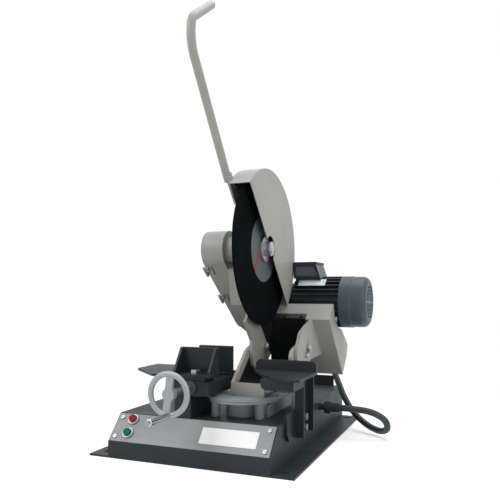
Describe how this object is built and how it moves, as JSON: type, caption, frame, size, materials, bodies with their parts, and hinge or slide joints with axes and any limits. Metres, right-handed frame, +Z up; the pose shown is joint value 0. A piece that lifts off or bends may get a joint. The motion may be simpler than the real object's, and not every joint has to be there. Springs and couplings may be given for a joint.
{
  "type": "abrasive cut-off saw",
  "caption": "floor or bench abrasive cut-off saw with a raised belt-driven wheel arm on a swivel bracket, screw vice and side tables on a sheet-metal base",
  "frame": {"origin": "centre of the four foot slots, on the floor plane", "axes": "+X to the operator's right along the wheel spindle, +Y to the back, +Z up"},
  "size_m": [0.6661, 0.8305, 1.08],
  "materials": {
    "base_paint": "satin",
    "cream_paint": "satin",
    "grey_paint": "satin",
    "dark_paint": "satin",
    "panel_paint": "satin",
    "steel": "brushed",
    "chrome": "polished",
    "bronze": "turned",
    "motor_paint": "satin",
    "fan_paint": "satin",
    "abrasive": "rough",
    "rubber": "matte",
    "conduit": "ribbed",
    "red": "gloss",
    "green": "gloss",
    "black_plastic": "matte",
    "cast": "machined"
  },
  "bodies": {
    "base": {"base_cabinet": "base_paint", "foot_rails": "base_paint", "control_panel": "panel_paint", "panel_screws": "steel", "button_bezels": "chrome", "switch_blocks": "black_plastic", "rear_plate": "base_paint", "turntable_base": "grey_paint", "turntable_pillars": "grey_paint", "vent_plate": "grey_paint", "vice_bed": "dark_paint", "screw_nut": "cast", "rear_fence": "dark_paint", "left_table": "dark_paint", "right_post": "dark_paint", "post_bolts": "steel", "table_arm": "dark_paint", "right_table": "dark_paint", "conduit_gland": "black_plastic", "conduit_lower": "conduit"},
    "swivel_head": {"turntable_disc": "grey_paint", "king_bolt": "steel", "pivot_bracket": "cream_paint", "pivot_bolt": "steel"},
    "arm": {"arm_frame": "cream_paint", "left_cheek": "cream_paint", "right_cheek": "cream_paint", "cheek_bushes": "bronze", "motor_tray": "cream_paint", "motor_frame": "motor_paint", "motor_bell": "motor_paint", "fan_cover": "fan_paint", "terminal_box": "motor_paint", "terminal_lid": "motor_paint", "spindle_housing": "cream_paint", "shaft_bearings": "steel", "v_belt": "rubber", "belt_cover": "cream_paint", "wheel_guard": "cream_paint", "handle": "cream_paint", "arm_bolts": "steel", "flap_strip": "black_plastic", "spark_flap": "rubber", "conduit_upper": "conduit"},
    "rotor": {"motor_rotor": "steel", "cooling_fan": "black_plastic", "motor_pulley": "cast"},
    "spindle": {"spindle_shaft": "steel", "wheel_flanges": "steel", "spindle_nut": "steel", "cutoff_wheel": "abrasive", "spindle_pulley": "cast"},
    "lid": {"belt_lid": "cream_paint"},
    "jaw": {"moving_jaw": "dark_paint", "jaw_bolt": "steel"},
    "screw": {"lead_screw": "steel", "handwheel": "steel"},
    "grip": {"crank_grip": "chrome"},
    "stop": {"stop_button": "red"},
    "start": {"start_button": "green"}
  },
  "joints": [
    {"name": "stop_press", "type": "slide", "parent": "base", "child": "stop", "axis": [0, 0.7433, -0.669], "range_m": [0, 0.004], "stiffness_N_per_m": 400, "springref_m": -0.002},
    {"name": "start_press", "type": "slide", "parent": "base", "child": "start", "axis": [0, 0.7433, -0.669], "range_m": [0, 0.004], "stiffness_N_per_m": 400, "springref_m": -0.002},
    {"name": "swivel_turn", "type": "hinge", "parent": "base", "child": "swivel_head", "pos_m": [0.085, -0.19, 0.1475], "axis": [0, 0, 1], "range_deg": [0, 25], "deforming": ["conduit_lower"]},
    {"name": "arm_tilt", "type": "hinge", "parent": "swivel_head", "child": "arm", "pos_m": [0.1365, -0.024, 0.253], "axis": [1, 0, 0], "range_deg": [0, 47], "deforming": ["conduit_upper"]},
    {"name": "spindle_spin", "type": "hinge", "parent": "arm", "child": "spindle", "pos_m": [0.094, -0.08062, 0.51606], "axis": [1, 0, 0], "continuous": true},
    {"name": "rotor_spin", "type": "hinge", "parent": "arm", "child": "rotor", "pos_m": [0.19, 0.15004, 0.37428], "axis": [1, 0, 0], "continuous": true},
    {"name": "lid_swing", "type": "hinge", "parent": "arm", "child": "lid", "pos_m": [-0.064, -0.11593, 0.47005], "axis": [0, -0.7932, 0.609], "range_deg": [0, 95]},
    {"name": "jaw_slide", "type": "slide", "parent": "base", "child": "jaw", "axis": [0, 1, 0], "range_m": [0, 0.0751]},
    {"name": "screw_turn", "type": "hinge", "parent": "jaw", "child": "screw", "pos_m": [-0.007, -0.26, 0.176], "axis": [0, 1, 0], "range_deg": [0, 5400]},
    {"name": "grip_spin", "type": "hinge", "parent": "screw", "child": "grip", "pos_m": [-0.007, -0.445, 0.1305], "axis": [0, 1, 0], "continuous": true}
  ],
  "couplings": [
    {"joint": "jaw_slide", "follows": "screw_turn", "m_per_rad": 0.00079577},
    {"joint": "rotor_spin", "follows": "spindle_spin", "ratio": 0.78261}
  ]
}
